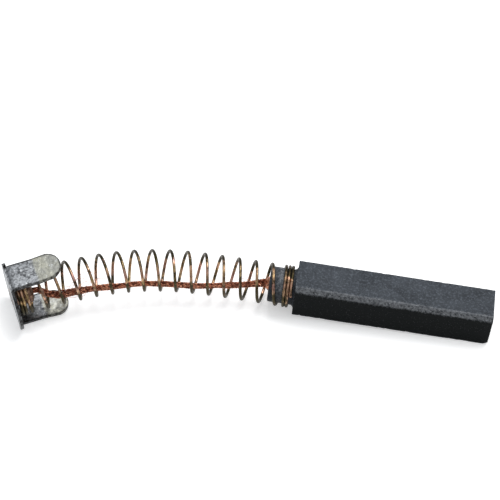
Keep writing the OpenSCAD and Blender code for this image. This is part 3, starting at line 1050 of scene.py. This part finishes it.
class BRUSH_OT_finishes(bpy.types.Operator):
    """Make the shared node groups and the materials"""

    bl_idname = "brush.finishes"
    bl_label = "Finishes"

    def execute(self, context):
        colours = context.scene.brush_colours
        grain_group()
        tarnish_group()
        for make in (carbon_material, spring_material, copper_material, tin_material, eyelet_material):
            make(colours)
        return {"FINISHED"}


class BRUSH_OT_carbon(bpy.types.Operator):
    """Make the carbon block with its spigot and the tamped copper in it"""

    bl_idname = "brush.carbon"
    bl_label = "Carbon block"

    ground_sheen_depth = 0.1 * MM
    spigot_tone = 0.75

    def execute(self, context):
        sizes = context.scene.brush_sizes
        points, wear = carbon_rings(sizes)
        skin = Skin()
        on_block = points[..., 0] > FACE_X - sizes.block_l
        # Top and bottom faces get the painted sheen with the ground finish, the other faces the painted shade
        ground_sheen_face = np.abs(points[..., 2]) > HALF_H - self.ground_sheen_depth
        skin.grid(points, wear=wear, tone=np.where(on_block, ground_sheen_face, self.spigot_tone))
        finished(skin, "carbon_block_worn", 50, "carbon", "Pressed carbon", "carbon", "carbon_block")
        crown = crown_skin(sizes)
        finished(crown, "tamped_copper", 80, "carbon", "Bare copper", "tamped_copper", "tamping_plug")
        return {"FINISHED"}


class BRUSH_OT_spring(bpy.types.Operator):
    """Make the spring: its free turns, the turns on the spigot and the turns round the eyelet"""

    bl_idname = "brush.spring"
    bl_label = "Spring"

    cap_seat_turns = 2.5

    def execute(self, context):
        line = SpringLine(context.scene.brush_sizes)
        spigot_l = line.shoulder[0] - SPIGOT_END_X
        near, far = line.turn_at(spigot_l + line.wire_d), line.turns - self.cap_seat_turns
        stretches = {
            "spring_seat_on_spigot": (0, near, "carbon"),
            "spring_free_turns": (near, far, "cap"),
            "spring_seat_in_cap": (far, line.turns, "cap"),
        }
        for name, (first, last, body) in stretches.items():
            skin = Skin()
            # The tone is painted shade round each turn
            rings, film_and_shade = line.wire(first, last)
            skin.grid(rings, tone=film_and_shade)
            piece = finished(skin, name, 50, body, "Darkened wire", "spring_bronze", "spring")
            if name == "spring_free_turns":
                squash(piece, line.split(far), line.split(near))
        return {"FINISHED"}


class BRUSH_OT_braid(bpy.types.Operator):
    """Make the copper braid inside the spring, with a few loose wires"""

    bl_idname = "brush.braid"
    bl_label = "Shunt braid"

    hair_r = 0.034 * MM
    hair_sides = 5

    def execute(self, context):
        sizes = context.scene.brush_sizes
        piece = finished(
            braid_skin(sizes), "shunt_braid_woven", 80, "cap", "Bare copper", "braid_copper", "shunt_braid"
        )
        skin = Skin()
        for path in filament_paths(sizes):
            _, side, top = square_frames(path)
            skin.grid(carry(path, top, side, self.hair_r, self.hair_sides), tone=0.1)
        hairs = finished(skin, "sprung_wires", 80, "cap", "Bare copper", "braid_copper")
        for moved in (piece, hairs):
            squash(moved, CAP_AT + CAP_AXIS * sizes.eyelet_l, SPIGOT_MOUTH)
        return {"FINISHED"}


class BRUSH_OT_cap(bpy.types.Operator):
    """Make the folded terminal cap and the eyelet in its middle"""

    bl_idname = "brush.cap"
    bl_label = "Terminal cap"

    join_gap = 0.004 * MM
    edge_bevel = 0.07 * MM
    bevel_from = math.radians(50)

    def execute(self, context):
        sizes = context.scene.brush_sizes
        cap = cap_skin(sizes).build("terminal_cap_sheet", sharp=60)
        outward(cap, join=self.join_gap)
        wall = cap.modifiers.new("Sheet", "SOLIDIFY")
        wall.thickness, wall.offset = sizes.sheet_t, 0.0
        wall.use_even_offset = True
        edge = cap.modifiers.new("Soft edges", "BEVEL")
        edge.width, edge.segments, edge.limit_method = self.edge_bevel, 2, "ANGLE"
        edge.angle_limit = self.bevel_from
        finish_piece(cap, "cap", "Tinned sheet", "tinned_sheet", "terminal_cap")
        finished(eyelet_skin(sizes), "eyelet_crimped", 50, "cap", "Eyelet metal", "eyelet_metal", "eyelet")
        return {"FINISHED"}


class BRUSH_OT_stage(bpy.types.Operator):
    """Make the floor, the lamp, the world and the camera"""

    bl_idname = "brush.stage"
    bl_label = "Stage"

    # Angles in degrees, lens and sensor in millimetres, lamp_power in watts
    view_azimuth = -3.2
    view_height = 49.0
    view_roll = 6.26
    view_distance = 299.3 * MM
    aim = (-40.4 * MM, 6.57 * MM, -0.1 * MM)
    lens = 130.7
    sensor = 36.0
    floor_size = 0.9
    floor_gap = 0.01 * MM
    floor_seen = (0.86, 0.86, 0.86, 1)
    floor_unseen = (0.22, 0.22, 0.22, 1)
    floor_glow = 0.42
    horizon = (0.10, 0.10, 0.105, 1)
    ceiling = (0.86, 0.88, 0.90, 1)
    horizon_height = 0.05
    lamp_at = (0.02, 0.16, 0.50)
    lamp_aim = (-0.038, -0.002, 0.0)
    lamp_size = (0.40, 0.30)
    lamp_power = 2.0

    def camera(self, scene):
        """A camera on a sphere about the aim point, rolled a little about its own line of sight."""
        az, el, roll = (math.radians(v) for v in (self.view_azimuth, self.view_height, self.view_roll))
        ahead = Vector((math.sin(az) * math.cos(el), math.cos(az) * math.cos(el), -math.sin(el)))
        level = ahead.cross(Vector(UP)).normalized()
        over = level.cross(ahead)
        right = level * math.cos(roll) + over * math.sin(roll)
        top = over * math.cos(roll) - level * math.sin(roll)
        turn = Matrix((right, top, -ahead)).transposed().to_4x4()
        data = bpy.data.cameras.new("Camera")
        data.lens, data.sensor_width, data.clip_start = self.lens, self.sensor, 0.01
        scene.camera = in_scene("Camera", data)
        scene.camera.matrix_world = Matrix.Translation(Vector(self.aim) - ahead * self.view_distance) @ turn

    def floor(self):
        """A plane under the block's far bottom edge and the corners of the cap's disc. To the camera
        and in reflections it is pale and glows a little, and to other light it is a plain grey."""
        edge = np.array([FACE_X, 0.0, low("carbon_block")[2]])
        cap_low = low("terminal_cap")
        slope = (edge[2] - cap_low[2]) / (edge[0] - CAP_AT[0])
        sides = np.array([(-1, -1), (1, -1), (1, 1), (-1, 1)]) * self.floor_size
        corners = [(x, y, edge[2] + (x - edge[0]) * slope - self.floor_gap) for x, y in sides]
        mesh = bpy.data.meshes.new("floor")
        mesh.from_pydata(corners, [], [(0, 1, 2, 3)])
        made = bpy.data.materials.new("Pale floor")
        n = fresh_nodes(made)
        matt = n.add("ShaderNodeBsdfDiffuse", Color=self.floor_seen)
        glow = n.add("ShaderNodeEmission", Color=(1, 1, 1, 1), Strength=self.floor_glow)
        both = n.add("ShaderNodeAddShader", None, {0: matt.outputs[0], 1: glow.outputs[0]})
        plain = n.add("ShaderNodeBsdfDiffuse", Color=self.floor_unseen)
        path = n.add("ShaderNodeLightPath")
        seen = n.maths("MAXIMUM", path.outputs["Is Camera Ray"], path.outputs["Is Glossy Ray"])
        seen = n.maths("MAXIMUM", seen, path.outputs["Is Transmission Ray"])
        pick = n.add("ShaderNodeMixShader", None, {0: seen, 1: plain.outputs[0], 2: both.outputs[0]})
        n.add("ShaderNodeOutputMaterial", Surface=pick.outputs[0])
        mesh.materials.append(made)
        floor = in_scene("floor", mesh)

    def lamp(self):
        """One broad soft lamp overhead, a little behind the part."""
        data = bpy.data.lights.new("Overhead", "AREA")
        data.shape, data.energy = "RECTANGLE", self.lamp_power
        data.size, data.size_y = self.lamp_size
        lamp = in_scene("Overhead", data)
        lamp.location = self.lamp_at
        ahead = Vector(self.lamp_aim) - Vector(self.lamp_at)
        lamp.rotation_euler = ahead.to_track_quat("-Z", "Y").to_euler()

    def room(self, scene):
        """A room whose light fades from the ceiling down to the horizon."""
        world = bpy.data.worlds.new("Soft room")
        n = fresh_nodes(world)
        way = n.add("ShaderNodeTexCoord").outputs["Generated"]
        height = n.add("ShaderNodeSeparateXYZ", Vector=way).outputs["Z"]
        light = n.mix(n.ramp(height, self.horizon_height, 1.0), self.horizon, self.ceiling)
        ground_light = n.add("ShaderNodeBackground", Color=light)
        n.add("ShaderNodeOutputWorld", Surface=ground_light.outputs[0])
        scene.world = world

    def execute(self, context):
        scene = context.scene
        self.camera(scene)
        self.floor()
        self.lamp()
        self.room(scene)
        scene.view_settings.view_transform = "Standard"
        return {"FINISHED"}


class BRUSH_PT_panel(bpy.types.Panel):
    """Lists the steps in order"""

    bl_label = "Carbon Brush"
    bl_space_type = "VIEW_3D"
    bl_region_type = "UI"
    bl_category = "Carbon Brush"

    def draw(self, context):
        for step in STEPS:
            self.layout.operator(step.bl_idname)
        for group in (context.scene.brush_sizes, context.scene.brush_colours):
            for key in group.__annotations__:
                self.layout.prop(group, key)


STEPS = (BRUSH_OT_finishes, BRUSH_OT_stage, BRUSH_OT_carbon, BRUSH_OT_spring, BRUSH_OT_braid, BRUSH_OT_cap)
CLASSES = (BrushSizes, BrushColours, *STEPS, BRUSH_PT_panel)


def register():
    for c in CLASSES:
        bpy.utils.register_class(c)
    bpy.types.Scene.brush_sizes = bpy.props.PointerProperty(type=BrushSizes)
    bpy.types.Scene.brush_colours = bpy.props.PointerProperty(type=BrushColours)


def unregister():
    del bpy.types.Scene.brush_colours
    del bpy.types.Scene.brush_sizes
    for c in reversed(CLASSES):
        bpy.utils.unregister_class(c)


def main():
    """Makes the part with the panel's own steps."""
    register()
    bpy.ops.brush.finishes()
    bpy.ops.brush.stage()
    bpy.ops.brush.carbon()
    bpy.ops.brush.spring()
    bpy.ops.brush.braid()
    bpy.ops.brush.cap()


if __name__ == "__main__":
    main()
